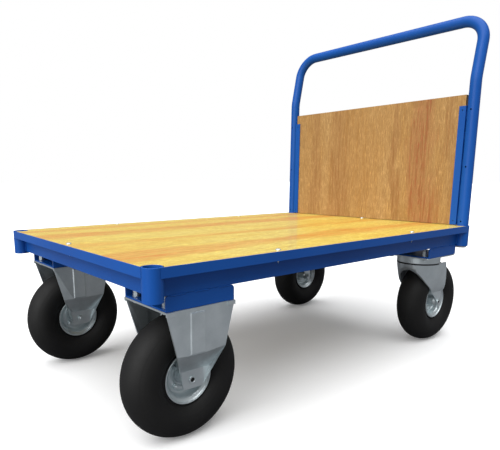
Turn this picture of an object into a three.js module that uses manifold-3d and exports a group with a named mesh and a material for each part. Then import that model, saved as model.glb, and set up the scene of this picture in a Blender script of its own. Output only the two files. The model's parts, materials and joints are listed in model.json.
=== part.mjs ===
// Platform trolley: wooden deck in a welded steel frame, plug-in push handle with an end board,
// two fixed casters at the front and two swivel casters under the handle, all on air tyres.
// Millimetres, +Z up. +X points from the open front end to the handle end, -Y is the left side
// for the person pushing. The floor is z = 0, and the origin is under the middle of the whole box.
import * as THREE from 'three';
import { mergeVertices } from 'three/addons/utils/BufferGeometryUtils.js';
import { ConvexGeometry } from 'three/addons/geometries/ConvexGeometry.js';
import { LoftGeometry } from 'three/addons/geometries/LoftGeometry.js';
import Module from 'manifold-3d';

const wasm = await Module();
wasm.setup();

// ---------- driving dimensions ----------
const GAP = 0.3; // clearance left between pieces that touch

const WHEEL_DIAMETER = 260;
const TYRE_WIDTH = 86;
const WHEEL_Y = 271; // wheel centres either side of the middle
const FIXED_AXLE_X = -443;
const KING_PIN_X = 452;
const TRAIL = 66; // rear axle behind its king pin

const SOCKET_SPACING_X = 1100;
const SOCKET_SPACING_Y = 704;
const SOCKET_RADIUS = 19;
const SOCKET_BORE = 16.4;
const SOCKET_HEIGHT = 62;
const DECK_TOP = 373;

const EDGE_HEIGHT = 19; // upright lip of the edge angle
const LEDGE_WIDTH = 28; // its flat leg, under the board
const SHEET = 3;
const RAIL_INSET = 25; // rail face behind the lip's face
const RAIL_BOTTOM = 316;
const RAIL_FLANGE = 22;

const CHANNEL_BOTTOM = 286;
const CHANNEL_SHEET = 3.5;
const CHANNEL_LENGTH = 156;
const CHANNEL_WIDTH = 150;

const TUBE_RADIUS = 16;
const TUBE_WALL = 2;
const KINK_HEIGHT = 802; // where the handle legs start to lean back
const LEAN = THREE.MathUtils.degToRad(11.5);
const LEAN_LENGTH = 175; // from the kink to the axis of the grip bar
const GRIP_BEND = 67;
const KINK_BEND = 110;

const BOARD_TOP = 758;
const BOARD_THICKNESS = 18;
const ANGLE_TOP = 726;
const ANGLE_LEG = 20;

const FORK_TOP = CHANNEL_BOTTOM - GAP;
const FORK_SHEET = 3.5;
const AXLE_PLATE_Y = 41; // outer face of a fork's lower plates from the wheel's middle
const AXLE_RADIUS = 6;

// ---------- sizes that follow ----------
const WHEEL_RADIUS = WHEEL_DIAMETER / 2;
const OUTER_X = SOCKET_SPACING_X / 2 + SOCKET_RADIUS;
const OUTER_Y = SOCKET_SPACING_Y / 2 + SOCKET_RADIUS;
const LEDGE_BOTTOM = DECK_TOP - EDGE_HEIGHT;
const RAIL_TOP = LEDGE_BOTTOM - GAP;
const RAIL_X = OUTER_X - RAIL_INSET;
const RAIL_Y = OUTER_Y - RAIL_INSET;
const REAR_AXLE_X = KING_PIN_X + TRAIL;
const FRAME_X = -(FIXED_AXLE_X + REAR_AXLE_X) / 2;
const HANDLE_X = SOCKET_SPACING_X / 2;
const HANDLE_Y = SOCKET_SPACING_Y / 2;

// ---------- finishes ----------
const finish = (color, roughness, metalness) =>
  new THREE.MeshStandardMaterial({ color, roughness, metalness });
const bluePaint = () => finish('#2158ab', 0.42, 0.1);
const deckWood = () => finish('#efbd62', 0.25, 0);
const boardWood = () => finish('#c39a5c', 0.35, 0);
const zinc = () => finish('#8d979b', 0.38, 0.9);
const darkSteel = () => finish('#3b4044', 0.5, 0.8);
const tyreRubber = () => finish('#202020', 0.75, 0);
const greyPlastic = () => finish('#a9acad', 0.6, 0);

// ---------- geometry helpers ----------
function solid(geometry) {
  const bare = new THREE.BufferGeometry().copy(geometry);
  bare.deleteAttribute('normal');
  bare.deleteAttribute('uv');
  const merged = mergeVertices(bare, 1e-4);
  return new wasm.Manifold(new wasm.Mesh({
    numProp: 3,
    vertProperties: new Float32Array(merged.attributes.position.array),
    triVerts: new Uint32Array(merged.index.array),
  }));
}

function geometryOf(manifold) {
  const { vertProperties, triVerts } = manifold.getMesh();
  const indexed = new THREE.BufferGeometry();
  indexed.setAttribute('position', new THREE.BufferAttribute(vertProperties, 3));
  indexed.setIndex(new THREE.BufferAttribute(triVerts, 1));
  const flat = indexed.toNonIndexed();
  flat.computeVertexNormals();
  return flat;
}

const union = (...pieces) => geometryOf(pieces.map(solid).reduce((sum, next) => sum.add(next)));
const cut = (body, ...tools) => geometryOf(tools.map(solid)
  .reduce((rest, tool) => rest.subtract(tool), solid(body)));
const common = (a, b) => geometryOf(solid(a).intersect(solid(b)));

function box([x0, x1], [y0, y1], [z0, z1]) {
  const geometry = new THREE.BoxGeometry(x1 - x0, y1 - y0, z1 - z0);
  return geometry.translate((x0 + x1) / 2, (y0 + y1) / 2, (z0 + z1) / 2);
}

function rodZ(radius, [z0, z1], x = 0, y = 0, sides = 20) {
  const geometry = new THREE.CylinderGeometry(radius, radius, z1 - z0, sides);
  return geometry.rotateX(Math.PI / 2).translate(x, y, (z0 + z1) / 2);
}

function rodY(radius, [y0, y1], x = 0, z = 0, sides = 16) {
  const geometry = new THREE.CylinderGeometry(radius, radius, y1 - y0, sides);
  return geometry.translate(x, (y0 + y1) / 2, z);
}

function rodX(radius, [x0, x1], y = 0, z = 0, sides = 8) {
  const geometry = new THREE.CylinderGeometry(radius, radius, x1 - x0, sides);
  return geometry.rotateZ(Math.PI / 2).translate((x0 + x1) / 2, y, z);
}

const outline = (points) => new THREE.Shape(points.map(([u, v]) => new THREE.Vector2(u, v)));

// An outline in X and Y, pulled up along Z.
function extrudeZ(shape, [z0, z1]) {
  return new THREE.ExtrudeGeometry(shape, { depth: z1 - z0, bevelEnabled: false, curveSegments: 3 })
    .translate(0, 0, z0);
}

// An outline in X and Z, pulled along Y.
function extrudeY(shape, [y0, y1]) {
  return new THREE.ExtrudeGeometry(shape, { depth: y1 - y0, bevelEnabled: false, curveSegments: 3 })
    .rotateX(Math.PI / 2).translate(0, y1, 0);
}

// An outline in Y and Z, pulled along X.
function extrudeX(shape, [x0, x1]) {
  const turn = new THREE.Matrix4().set(0, 0, 1, 0, 1, 0, 0, 0, 0, 1, 0, 0, 0, 0, 0, 1);
  return new THREE.ExtrudeGeometry(shape, { depth: x1 - x0, bevelEnabled: false, curveSegments: 3 })
    .applyMatrix4(turn).translate(x0, 0, 0);
}

const span = (a, b) => [Math.min(a, b), Math.max(a, b)];
const hull = (points) => new ConvexGeometry(points.map(([x, y, z]) => new THREE.Vector3(x, y, z)));

const trolley = new THREE.Group();
trolley.position.x = FRAME_X;

function place(parent, name, geometry, material) {
  const mesh = new THREE.Mesh(geometry, material);
  mesh.name = name;
  parent.add(mesh);
  return mesh;
}

const ENDS = { front: -1, rear: 1 };
const SIDES = { left: -1, right: 1 };

// ---------- frame ----------
const socketAxes = Object.values(ENDS).flatMap((end) => Object.values(SIDES).map((side) => [
  end * SOCKET_SPACING_X / 2, side * SOCKET_SPACING_Y / 2,
]));

function clearOfSockets(geometry, clearance) {
  const height = [RAIL_BOTTOM - 20, DECK_TOP + 20];
  return cut(geometry, ...socketAxes.map(([x, y]) => rodZ(SOCKET_RADIUS + clearance, height, x, y)));
}

// Deck screws go through the board near its edge: two on each long side, one on each short side.
// The rear one stands in front of the end board.
const SCREW_INSET = 16.5;
const SCREW_X = 255;
const SCREW_RADIUS = 3;
const REAR_SCREW_X = 534;
const screwPlaces = {
  left_front: [-SCREW_X, -(OUTER_Y - SCREW_INSET)],
  left_rear: [SCREW_X, -(OUTER_Y - SCREW_INSET)],
  right_front: [-SCREW_X, OUTER_Y - SCREW_INSET],
  right_rear: [SCREW_X, OUTER_Y - SCREW_INSET],
  front: [-(OUTER_X - SCREW_INSET), 0],
  rear: [REAR_SCREW_X, 0],
};
const screwHoles = () => Object.values(screwPlaces)
  .map(([x, y]) => rodZ(SCREW_RADIUS + GAP, [RAIL_BOTTOM, DECK_TOP + 5], x, y, 8));

function deckBoard() {
  const x = OUTER_X - SHEET - GAP;
  const y = OUTER_Y - SHEET - GAP;
  const height = [LEDGE_BOTTOM + SHEET + GAP, DECK_TOP];
  const corners = socketAxes.map(([cx, cy]) => box(
    span(cx, Math.sign(cx) * OUTER_X), span(cy, Math.sign(cy) * OUTER_Y), [height[0] - 1, height[1] + 1],
  ));
  const sheet = cut(box([-x, x], [-y, y], height), ...corners);
  return cut(clearOfSockets(sheet, 1), ...screwHoles());
}

// L section: the lip stands at the outside, the ledge runs inward under the board.
function angleSection() {
  const lip = LEDGE_BOTTOM + EDGE_HEIGHT;
  return outline([
    [0, LEDGE_BOTTOM], [LEDGE_WIDTH, LEDGE_BOTTOM], [LEDGE_WIDTH, LEDGE_BOTTOM + SHEET],
    [SHEET, LEDGE_BOTTOM + SHEET], [SHEET, lip], [0, lip],
  ]);
}

const LIP_END = 5; // the lips stop this far short of the socket axes
function sideAngle(side) {
  const half = SOCKET_SPACING_X / 2 - LIP_END;
  const bar = extrudeX(angleSection(), [-half, half]).translate(0, -OUTER_Y, 0);
  if (side > 0) bar.rotateZ(Math.PI);
  return cut(clearOfSockets(bar, 0.5), ...screwHoles());
}

function endAngle(end) {
  const half = SOCKET_SPACING_Y / 2 - LIP_END;
  const bar = extrudeX(angleSection(), [-half, half]).translate(0, -OUTER_X, 0);
  bar.rotateZ(end < 0 ? -Math.PI / 2 : Math.PI / 2);
  return cut(clearOfSockets(bar, 0.5), ...screwHoles());
}

// C section, open inward, with mitred corners where side and end rails meet.
function rail(halfLength, inset) {
  const section = outline([
    [0, RAIL_BOTTOM], [RAIL_FLANGE, RAIL_BOTTOM], [RAIL_FLANGE, RAIL_BOTTOM + SHEET],
    [SHEET, RAIL_BOTTOM + SHEET], [SHEET, RAIL_TOP - SHEET], [RAIL_FLANGE, RAIL_TOP - SHEET],
    [RAIL_FLANGE, RAIL_TOP], [0, RAIL_TOP],
  ]);
  const bar = extrudeX(section, [-halfLength, halfLength]).translate(0, -inset, 0);
  const mitre = halfLength - GAP;
  const depth = 2 * RAIL_FLANGE;
  const plan = outline([
    [-mitre, -inset], [mitre, -inset], [mitre - depth, -inset + depth], [-mitre + depth, -inset + depth],
  ]);
  return common(bar, extrudeZ(plan, [RAIL_BOTTOM - 1, RAIL_TOP + 1]));
}

function sideRail(side) {
  const bar = rail(RAIL_X, RAIL_Y);
  if (side > 0) bar.rotateZ(Math.PI);
  return clearOfSockets(bar, GAP);
}

function endRail(end) {
  const bar = rail(RAIL_Y, RAIL_X);
  bar.rotateZ(end < 0 ? -Math.PI / 2 : Math.PI / 2);
  const [x, y] = screwPlaces.rear;
  return cut(clearOfSockets(bar, GAP), rodZ(SCREW_RADIUS + GAP, [RAIL_BOTTOM, DECK_TOP], x, y, 8));
}

// Cross members carry the middle of the board. Their ends are notched to sit inside the side rails.
const CROSS_WIDTH = 40;
function crossMember(x) {
  const half = RAIL_Y - SHEET - GAP;
  const inner = RAIL_Y - RAIL_FLANGE - GAP;
  const top = LEDGE_BOTTOM + SHEET;
  const section = outline([
    [0, RAIL_BOTTOM], [CROSS_WIDTH, RAIL_BOTTOM], [CROSS_WIDTH, RAIL_BOTTOM + SHEET],
    [SHEET, RAIL_BOTTOM + SHEET], [SHEET, top - SHEET], [CROSS_WIDTH, top - SHEET],
    [CROSS_WIDTH, top], [0, top],
  ]);
  const bar = extrudeX(section, [-half, half]).translate(0, -CROSS_WIDTH / 2, 0).rotateZ(Math.PI / 2);
  const across = [-CROSS_WIDTH, CROSS_WIDTH];
  const notches = [[-half - 1, -inner], [inner, half + 1]].flatMap((end) => [
    box(across, end, [RAIL_TOP - SHEET - GAP, top + 1]),
    box(across, end, [RAIL_BOTTOM - 1, RAIL_BOTTOM + SHEET + GAP]),
  ]);
  return cut(bar, ...notches).translate(x, 0, 0);
}

function socket(x, y) {
  const bottom = DECK_TOP - SOCKET_HEIGHT;
  const bore = rodZ(SOCKET_BORE, [bottom - 1, DECK_TOP + 1], x, y);
  return cut(rodZ(SOCKET_RADIUS, [bottom, DECK_TOP], x, y), bore);
}

// Mounting bolts of a caster: four, on a rectangle round the plate's middle.
const BOLT_X = 64;
const BOLT_Y = 54;
const BOLT_HOLE = 5.5;
const boltHoles = (x, y) => [-1, 1].flatMap((i) => [-1, 1].map((j) => (
  rodZ(BOLT_HOLE, [CHANNEL_BOTTOM - 10, CHANNEL_BOTTOM + 10], x + i * BOLT_X, y + j * BOLT_Y, 8)
)));

// U channel under the rails, open at both ends, that the caster's plate is bolted to.
const CHANNEL_CORNER = 7;
function casterChannel(x, y) {
  const top = RAIL_BOTTOM - GAP;
  const half = CHANNEL_WIDTH / 2;
  const t = CHANNEL_SHEET;
  const section = outline([
    [-half, CHANNEL_BOTTOM], [half, CHANNEL_BOTTOM], [half, top], [half - t, top],
    [half - t, CHANNEL_BOTTOM + t], [-half + t, CHANNEL_BOTTOM + t], [-half + t, top], [-half, top],
  ]);
  const end = CHANNEL_LENGTH / 2;
  const side = new THREE.Shape();
  side.moveTo(-end, CHANNEL_BOTTOM - 1);
  side.lineTo(end, CHANNEL_BOTTOM - 1);
  side.lineTo(end, top - CHANNEL_CORNER);
  side.absarc(end - CHANNEL_CORNER, top - CHANNEL_CORNER, CHANNEL_CORNER, 0, Math.PI / 2);
  side.lineTo(-end + CHANNEL_CORNER, top);
  side.absarc(-end + CHANNEL_CORNER, top - CHANNEL_CORNER, CHANNEL_CORNER, Math.PI / 2, Math.PI);
  const bar = common(extrudeX(section, [-end, end]), extrudeY(side, [-half - 1, half + 1]));
  return cut(bar.translate(x, y, 0), ...boltHoles(x, y));
}

// Round-headed screw: point, shank, then a low dome that stands on the board.
const SCREW_HEAD = 6;
const SCREW_TIP = 345;
function deckScrew(x, y) {
  const seat = DECK_TOP + GAP;
  const profile = [
    [0, SCREW_TIP], [SCREW_RADIUS, SCREW_TIP + 7], [SCREW_RADIUS, seat], [SCREW_HEAD, seat],
    [SCREW_HEAD * 0.8, seat + 1.7], [SCREW_HEAD * 0.4, seat + 2.9], [0, seat + 3.2],
  ].map(([r, z]) => new THREE.Vector2(r, z));
  return new THREE.LatheGeometry(profile, 10).rotateX(Math.PI / 2).translate(x, y, 0);
}

function buildFrame() {
  const frame = new THREE.Group();
  trolley.add(frame);
  place(frame, 'deck_board', deckBoard(), deckWood());
  for (const [name, side] of Object.entries(SIDES)) {
    place(frame, `edge_angle_${name}`, sideAngle(side), bluePaint());
    place(frame, `side_rail_${name}`, sideRail(side), bluePaint());
  }
  for (const [name, end] of Object.entries(ENDS)) {
    place(frame, `edge_angle_${name}`, endAngle(end), bluePaint());
    place(frame, `end_rail_${name}`, endRail(end), bluePaint());
  }
  const crossPlaces = { front: FIXED_AXLE_X, middle: 0, rear: KING_PIN_X };
  for (const [name, x] of Object.entries(crossPlaces)) {
    place(frame, `cross_member_${name}`, crossMember(x), bluePaint());
  }
  for (const [endName, end] of Object.entries(ENDS)) {
    for (const [sideName, side] of Object.entries(SIDES)) {
      const corner = `${endName}_${sideName}`;
      const x = end < 0 ? FIXED_AXLE_X : KING_PIN_X;
      place(frame, `corner_socket_${corner}`,
        socket(end * SOCKET_SPACING_X / 2, side * SOCKET_SPACING_Y / 2), bluePaint());
      place(frame, `caster_channel_${corner}`, casterChannel(x, side * WHEEL_Y), bluePaint());
    }
  }
  for (const [name, [x, y]] of Object.entries(screwPlaces)) {
    place(frame, `deck_screw_${name}`, deckScrew(x, y), zinc());
  }
}

// ---------- push handle ----------
// The handle is drawn flat as an upside-down U, by height s and width y, then its top leans back.
const PLUG_FLANGE = 5;
const TUBE_BOTTOM = DECK_TOP - SOCKET_HEIGHT + GAP;

function leanBack(s) {
  const arc = KINK_BEND * LEAN;
  const start = KINK_HEIGHT - KINK_BEND * Math.tan(LEAN / 2);
  if (s <= start) return [0, s];
  const turned = Math.min((s - start) / KINK_BEND, LEAN);
  const rest = Math.max(s - start - arc, 0);
  return [
    KINK_BEND * (1 - Math.cos(turned)) + rest * Math.sin(LEAN),
    start + KINK_BEND * Math.sin(turned) + rest * Math.cos(LEAN),
  ];
}

function handleStations() {
  const kink = KINK_BEND * Math.tan(LEAN / 2);
  const top = KINK_HEIGHT + LEAN_LENGTH - 2 * kink + KINK_BEND * LEAN;
  const flat = [TUBE_BOTTOM, KINK_HEIGHT - kink].map((s) => [-HANDLE_Y, s]);
  for (const part of [0.5, 1]) flat.push([-HANDLE_Y, KINK_HEIGHT - kink + part * KINK_BEND * LEAN]);
  const bendSteps = 6;
  for (let i = 0; i <= bendSteps; i++) {
    const a = (i / bendSteps) * Math.PI / 2;
    flat.push([-HANDLE_Y + GRIP_BEND * (1 - Math.cos(a)), top - GRIP_BEND * (1 - Math.sin(a))]);
  }
  const mirrored = flat.map(([y, s]) => [-y, s]).reverse();
  return [...flat, ...mirrored].map(([y, s]) => {
    const [x, z] = leanBack(s);
    return new THREE.Vector3(HANDLE_X + x, y, z);
  });
}

// Round rod through a list of points, with its sections square to the path.
function rodAlong(points, radius, sides) {
  const sections = points.map((point, i) => {
    const before = points[Math.max(i - 1, 0)];
    const after = points[Math.min(i + 1, points.length - 1)];
    const tangent = after.clone().sub(before).normalize();
    const across = new THREE.Vector3(1, 0, 0).addScaledVector(tangent, -tangent.x).normalize();
    const third = tangent.clone().cross(across);
    return Array.from({ length: sides }, (_, j) => {
      const a = (j / sides) * 2 * Math.PI;
      return point.clone()
        .addScaledVector(across, radius * Math.cos(a))
        .addScaledVector(third, radius * Math.sin(a));
    });
  });
  return new LoftGeometry(sections, { capStart: true, capEnd: true });
}

const TUBE_HOLE = 2.5;
const TUBE_HOLE_HEIGHTS = [386, 549, 714];
const ANGLE_HOLE = 2;
const ANGLE_HOLE_HEIGHTS = [386, 714];

function handleTube() {
  const stations = handleStations();
  const inner = stations.map((point) => point.clone());
  inner[0].z -= 1;
  inner[inner.length - 1].z -= 1;
  const holes = Object.values(SIDES).flatMap((side) => TUBE_HOLE_HEIGHTS.map((z) => (
    rodX(TUBE_HOLE, [HANDLE_X - TUBE_RADIUS - 1, HANDLE_X - 5], side * HANDLE_Y, z)
  )));
  return cut(rodAlong(stations, TUBE_RADIUS, 20), rodAlong(inner, TUBE_RADIUS - TUBE_WALL, 8), ...holes);
}

// Plastic plug that closes the tube's lower end, below the socket. Its stem fits inside the tube.
const PLUG_HEIGHT = 22;
function handlePlug(side) {
  const bottom = TUBE_BOTTOM - GAP - PLUG_FLANGE;
  const rim = TUBE_RADIUS - 1;
  const stem = TUBE_RADIUS - TUBE_WALL - 1;
  const profile = [
    [0, bottom], [rim - 2, bottom], [rim, bottom + 2], [rim, bottom + PLUG_FLANGE],
    [stem, bottom + PLUG_FLANGE], [stem - 1, bottom + PLUG_HEIGHT], [0, bottom + PLUG_HEIGHT],
  ].map(([r, z]) => new THREE.Vector2(r, z));
  return new THREE.LatheGeometry(profile, 12).rotateX(Math.PI / 2).translate(HANDLE_X, side * HANDLE_Y, 0);
}

// The angle is welded inside the leg; its front leg covers the board's upright edge.
const ANGLE_HEEL = HANDLE_Y - TUBE_RADIUS - GAP;
const ANGLE_FRONT = HANDLE_X - 11.5;
const BOARD_FRONT = ANGLE_FRONT + SHEET + GAP;

function boardAngle(side) {
  const plan = outline([
    [ANGLE_FRONT, ANGLE_HEEL - ANGLE_LEG], [ANGLE_FRONT + SHEET, ANGLE_HEEL - ANGLE_LEG],
    [ANGLE_FRONT + SHEET, ANGLE_HEEL - SHEET], [ANGLE_FRONT + ANGLE_LEG, ANGLE_HEEL - SHEET],
    [ANGLE_FRONT + ANGLE_LEG, ANGLE_HEEL], [ANGLE_FRONT, ANGLE_HEEL],
  ]);
  const bar = extrudeZ(plan, [DECK_TOP + 2, ANGLE_TOP]);
  const middle = ANGLE_HEEL - ANGLE_LEG / 2;
  const through = [ANGLE_FRONT - 1, ANGLE_FRONT + SHEET + 1];
  const drilled = cut(bar, ...ANGLE_HOLE_HEIGHTS.map((z) => rodX(ANGLE_HOLE, through, middle, z)));
  return side > 0 ? drilled : geometryOf(solid(drilled).mirror([0, 1, 0]));
}

function endBoard() {
  const half = ANGLE_HEEL - SHEET - GAP;
  return box([BOARD_FRONT, BOARD_FRONT + BOARD_THICKNESS], [-half, half], [DECK_TOP + 1, BOARD_TOP]);
}

function buildHandle() {
  const handle = new THREE.Group();
  trolley.add(handle);
  place(handle, 'push_handle', handleTube(), bluePaint());
  place(handle, 'end_board', endBoard(), boardWood());
  for (const [name, side] of Object.entries(SIDES)) {
    place(handle, `board_angle_${name}`, boardAngle(side), bluePaint());
    place(handle, `handle_plug_${name}`, handlePlug(side), greyPlastic());
  }
}

// ---------- wheels ----------
const WHEEL_SIDES = 24;
const TYRE_HALF_HEIGHT = 40; // of the casing's oval section
const CASING = 8;

const lathe = (points, sides = WHEEL_SIDES) => (
  new THREE.LatheGeometry(points.map(([r, y]) => new THREE.Vector2(r, y)), sides)
);

// An oval section from one bead over the tread to the other, with a gap of half-angle `open` at the rim.
function tyreArc(halfWidth, steps, open) {
  return Array.from({ length: steps + 1 }, (_, i) => {
    const a = open + (i / steps) * (2 * Math.PI - 2 * open);
    return [WHEEL_RADIUS - TYRE_HALF_HEIGHT * (1 + Math.cos(a)), -halfWidth * Math.sin(a)];
  });
}

// Hollow casing, open towards the rim.
function tyre() {
  const outer = tyreArc(TYRE_WIDTH / 2, 10, 0.6);
  const crown = WHEEL_RADIUS - CASING;
  const inner = tyreArc(TYRE_WIDTH / 2 - CASING, 5, 0.9).map(([r, y]) => [Math.min(r, crown), y]).reverse();
  return lathe([...outer, ...inner, outer[0]]);
}

// Pressed steel rim: a well between two flanges, and a flat disc in the middle that holds the hub.
const HUB_RADIUS = 17;
function wheelRim() {
  const half = [
    [46, 6], [47.5, 21], [51.5, 23], [55, 30], [52.5, 30], [43.5, 24], [41, 10], [32, 4],
    [HUB_RADIUS + GAP, 4],
  ];
  const other = half.map(([r, y]) => [r, -y]).reverse();
  return lathe([...half, ...other, half[0]]);
}

// Hub tube with tapered ends, as long as the space between the fork's lower plates.
function wheelHub() {
  const y = AXLE_PLATE_Y - FORK_SHEET - 2 * GAP;
  const r = AXLE_RADIUS + GAP;
  const end = HUB_RADIUS - 4;
  return lathe([
    [r, -y], [end, -y], [HUB_RADIUS, -y + 6], [HUB_RADIUS, y - 6], [end, y], [r, y], [r, -y],
  ], 16);
}

// The bolt's low head, with a round recess, is on the trolley's outer side. Its shank stops at the
// inner plate's face, and a thinner threaded stud goes on through the nut.
const AXLE_HEAD = 8;
const AXLE_HEAD_HEIGHT = 2.2;
const AXLE_RECESS = 4.7;
const AXLE_RECESS_DEPTH = 5;
const STUD_RADIUS = 4;
const NUT_WIDTH = 13;
const NUT_HEIGHT = 6.5;

function axleBolt(side) {
  const face = AXLE_PLATE_Y + GAP;
  const end = face + AXLE_HEAD_HEIGHT;
  const shank = rodY(AXLE_RADIUS, [-AXLE_PLATE_Y, face + 1]);
  const stud = rodY(STUD_RADIUS, [-face - NUT_HEIGHT - 2, 0]);
  const recess = rodY(AXLE_RECESS, [end - AXLE_RECESS_DEPTH, end + 1]);
  const bolt = cut(union(shank, stud, rodY(AXLE_HEAD, [face, end])), recess);
  return side > 0 ? bolt : bolt.rotateZ(Math.PI);
}

function axleNut(side) {
  const face = -AXLE_PLATE_Y - GAP;
  const hexagon = rodY(NUT_WIDTH / Math.sqrt(3), [face - NUT_HEIGHT, face], 0, 0, 6);
  const nut = cut(hexagon, rodY(STUD_RADIUS + GAP, [face - NUT_HEIGHT - 1, face + 1]));
  return side > 0 ? nut : nut.rotateZ(Math.PI);
}

function addWheel(parent, corner, side, x) {
  const wheel = new THREE.Group();
  wheel.position.set(x, 0, WHEEL_RADIUS);
  parent.add(wheel);
  place(wheel, `tyre_${corner}`, tyre(), tyreRubber());
  place(wheel, `wheel_rim_${corner}`, wheelRim(), zinc());
  place(wheel, `wheel_hub_${corner}`, wheelHub(), zinc());
  place(wheel, `axle_bolt_${corner}`, axleBolt(side), zinc());
  place(wheel, `axle_nut_${corner}`, axleNut(side), zinc());
}

// ---------- forks ----------
const axleHole = (x) => rodY(AXLE_RADIUS + GAP, [-AXLE_PLATE_Y - 1, AXLE_PLATE_Y + 1], x, WHEEL_RADIUS);

// Fixed fork: one bent sheet, open at the front and the rear. Each side has a bead pressed outward
// between two upright ribs and narrows to a fold, then leans in to the flat plate that holds the
// axle. The sheet's front and rear edges run straight from the fold to the foot of the plate.
const RIBS = [-29, 6];
const RIB_Y = 77.5;
const BEAD_DEPTH = 2.5;
const BEAD_TOP = 279;
const TOP_EDGE_Y = 76;
const FOLD_EDGE_Y = 71;
const FOLD_HEIGHT = 196;
const FOLD_SPAN = [-53, 60];
const PLATE_SPAN = [-25, 42];
const FOOT_SPAN = [-20.5, 28];
const TOE_SPAN = [-17, 24];
const PLATE_TOP = 150;
const PLATE_BOTTOM = 112;
const FOOT_HEIGHT = PLATE_BOTTOM + 3;
const CORNER_TAB = { length: 17, height: 8, y: 79 };

function fixedFork() {
  const half = CHANNEL_LENGTH / 2;
  const t = FORK_SHEET;
  const sides = [-1, 1];
  // Corners of one side's outer face, row by row, each from the front to the rear.
  const upright = ([front, rear], edge, z) => [
    [front, edge, z], [RIBS[0], RIB_Y, z], [RIBS[1], RIB_Y, z], [rear, edge, z],
  ];
  const flat = (xs, z) => xs.map((x) => [x, AXLE_PLATE_Y, z]);
  const [top0, top1, top2, top3] = upright([-half, half], TOP_EDGE_Y, FORK_TOP);
  const [fold0, fold1, fold2, fold3] = upright(FOLD_SPAN, FOLD_EDGE_Y, FOLD_HEIGHT);
  const [plate0, plate1] = flat(PLATE_SPAN, PLATE_TOP);
  const [foot0, foot1] = flat(FOOT_SPAN, FOOT_HEIGHT);
  const [toe0, toe1] = flat(TOE_SPAN, PLATE_BOTTOM);
  const faces = [
    [top0, top1, fold1], [top0, fold1, fold0], [top1, top2, fold2, fold1],
    [top2, top3, fold3], [top2, fold3, fold2],
    [fold0, fold1, plate0], [fold1, fold2, plate1, plate0], [fold2, fold3, plate1],
    [fold0, plate0, foot0], [fold3, plate1, foot1],
    [plate0, plate1, foot1, toe1, toe0, foot0],
  ];
  const panels = (side) => faces.map((face) => hull(
    face.flatMap(([x, y, z]) => [[x, side * y, z], [x, side * (y - t), z]]),
  ));
  const head = hull([FORK_TOP - t, FORK_TOP].flatMap((z) => sides.flatMap((side) => [
    [-half, side * (TOP_EDGE_Y - 1), z], [half, side * (TOP_EDGE_Y - 1), z],
    ...RIBS.map((x) => [x, side * (RIB_Y - 1), z]),
  ])));
  const bead = (side, inset) => hull([
    ...[BEAD_TOP, FOLD_HEIGHT + 1].flatMap((z) => RIBS.map((x) => [x, side * (RIB_Y - 1 - inset), z])),
    ...[BEAD_TOP - BEAD_DEPTH, FOLD_HEIGHT + 1 + BEAD_DEPTH].flatMap((z) => (
      [RIBS[0] + BEAD_DEPTH, RIBS[1] - BEAD_DEPTH].map((x) => [x, side * (RIB_Y + BEAD_DEPTH - inset), z])
    )),
  ]);
  const cornerTab = (side, end) => box(
    span(end * half, end * (half - CORNER_TAB.length)), span(side * (RIB_Y - t), side * CORNER_TAB.y),
    [FORK_TOP - CORNER_TAB.height, FORK_TOP],
  );
  const sheet = union(head, ...sides.flatMap((side) => [...panels(side), bead(side, 0)]),
    ...sides.flatMap((side) => sides.map((end) => cornerTab(side, end))));
  return cut(sheet, ...sides.map((side) => bead(side, t)), axleHole(0), ...boltHoles(0, 0));
}

// Swivel fork: a round head runs inside the plate's cup. Below it the sheet is pressed into a bell
// that opens in an arch in front of the tyre and reaches back to two flat legs that hold the axle.
const CUP_RADIUS = 63;
const CUP_BORE = 59;
const CUP_BOTTOM = 262.5;
const SKIRT_TOP = CUP_BOTTOM - 0.6;
const TOP_PLATE_BOTTOM = FORK_TOP - SHEET;
const HEAD_TOP = 270;
const HEAD_BOTTOM = 254;
const HEAD_SHEET = 4;
const RACE_RADIUS = 44;
const KING_RADIUS = 8;
const PLATE_REAR = 88;
const BELL_BOTTOM = 163;
// Radius, x and height of the bell's rings, from the top.
const BELL_RINGS = [
  [CUP_RADIUS - 0.5, 0, SKIRT_TOP], [55, 3, 205], [50, 6, 185], [AXLE_PLATE_Y, 14, BELL_BOTTOM],
];
// Side view, x and height: the bell's front edge and the outline of a leg.
const ARCH = [[-62, 252], [-57, 242], [-44, 223], [-26, 201], [-5, 183], [14, 168], [18, BELL_BOTTOM]];
const LEG = [
  [14, 168], [37, 152], [48, 140], [55, 130], [62, 117], [69, 105], [72, 102], [75, 102], [77, 105],
  [78, 160], [PLATE_REAR, 164], [PLATE_REAR, 168],
];

function swivelPlate() {
  const plate = box([-CHANNEL_LENGTH / 2, CHANNEL_LENGTH / 2], [-CHANNEL_WIDTH / 2, CHANNEL_WIDTH / 2],
    [TOP_PLATE_BOTTOM, FORK_TOP]);
  const cup = cut(rodZ(CUP_RADIUS, [CUP_BOTTOM, TOP_PLATE_BOTTOM + 1], 0, 0, 24),
    rodZ(CUP_BORE, [CUP_BOTTOM - 1, TOP_PLATE_BOTTOM], 0, 0, 24));
  const race = rodZ(RACE_RADIUS, [HEAD_TOP + GAP, TOP_PLATE_BOTTOM + 1], 0, 0, 24);
  const kingHole = rodZ(KING_RADIUS + GAP, [CUP_BOTTOM, FORK_TOP + 1], 0, 0, 20);
  return cut(union(plate, cup, race), kingHole, ...boltHoles(0, 0));
}

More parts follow.
